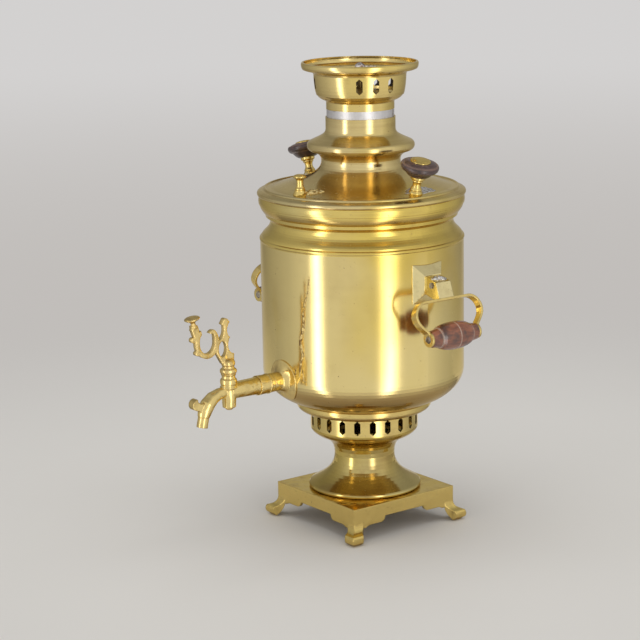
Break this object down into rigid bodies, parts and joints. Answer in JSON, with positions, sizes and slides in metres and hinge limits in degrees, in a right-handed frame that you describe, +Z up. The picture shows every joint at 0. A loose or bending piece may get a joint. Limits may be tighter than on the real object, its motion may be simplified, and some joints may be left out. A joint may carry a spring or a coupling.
{
  "type": "charcoal samovar",
  "caption": "Charcoal-fired water urn with a can-shaped tank on a footed plinth, a lift-off lid and teapot crown, side bail handles, and a tap with a turning openwork key.",
  "frame": {"origin": "centre of the floor under the plinth, on the tank's upright axis", "axes": "+Z up; the tap points towards -Y; the handles stand at +X and -X"},
  "size_m": [0.3112, 0.3247, 0.478],
  "materials": {
    "plinth": "worn satin",
    "pedestal": "polished",
    "draught_collar": "polished",
    "ash_dish": "polished",
    "tank": "polished, worn",
    "rim_ring": "polished",
    "tinned_tube": "dull tinned",
    "grate_iron": "rough",
    "lid": "polished",
    "vent_fittings": "worn",
    "knob_brass": "polished",
    "dark_wood": "varnished",
    "crown": "polished",
    "chimney_cap": "tarnished",
    "cap_ball": "dull",
    "bracket_plate": "polished",
    "bracket_arm": "cast, worn",
    "rivet_steel": "dull",
    "strap_brass": "worn",
    "red_wood": "varnished",
    "tap_brass": "cast, worn",
    "tap_sleeve": "worn",
    "key_brass": "cast, worn"
  },
  "bodies": {
    "samovar": {"plinth": "plinth", "pedestal": "pedestal", "draught_collar": "draught_collar", "ash_dish": "ash_dish", "tank": "tank", "rim_ring": "rim_ring", "fire_tube": "tinned_tube", "grate": "grate_iron", "bracket_plate_left": "bracket_plate", "bracket_plate_right": "bracket_plate", "bracket_arm_left": "bracket_arm", "bracket_arm_right": "bracket_arm", "bracket_rivet_left": "rivet_steel", "bracket_rivet_right": "rivet_steel", "handle_strap_left": "strap_brass", "handle_strap_right": "strap_brass", "handle_grip_left": "red_wood", "handle_grip_right": "red_wood", "handle_rod_left": "rivet_steel", "handle_rod_right": "rivet_steel", "tap_flange": "tap_brass", "tap_sleeve": "tap_sleeve", "tap_body": "tap_brass"},
    "lid": {"lid": "lid", "vent_seat": "vent_fittings", "knob_stem_left": "knob_brass", "knob_stem_right": "knob_brass", "knob_wood_left": "dark_wood", "knob_wood_right": "dark_wood", "knob_button_left": "knob_brass", "knob_button_right": "knob_brass"},
    "crown": {"crown": "crown"},
    "cap": {"chimney_cap": "chimney_cap", "cap_ball": "cap_ball", "cap_wire": "cap_ball"},
    "vent_cap": {"vent_cap": "vent_fittings"},
    "key": {"tap_key": "key_brass"}
  },
  "joints": [
    {"name": "lid_lift", "type": "slide", "parent": "samovar", "child": "lid", "axis": [0, 0, 1], "range_m": [0, 0.1]},
    {"name": "crown_lift", "type": "slide", "parent": "lid", "child": "crown", "axis": [0, 0, 1], "range_m": [0, 0.05]},
    {"name": "cap_lift", "type": "slide", "parent": "crown", "child": "cap", "axis": [0, 0, 1], "range_m": [0, 0.05]},
    {"name": "vent_lift", "type": "slide", "parent": "lid", "child": "vent_cap", "axis": [0, 0, 1], "range_m": [0, 0.012]},
    {"name": "key_turn", "type": "hinge", "parent": "samovar", "child": "key", "pos_m": [0, -0.1697, 0.165], "axis": [0, 0, 1], "continuous": true}
  ]
}
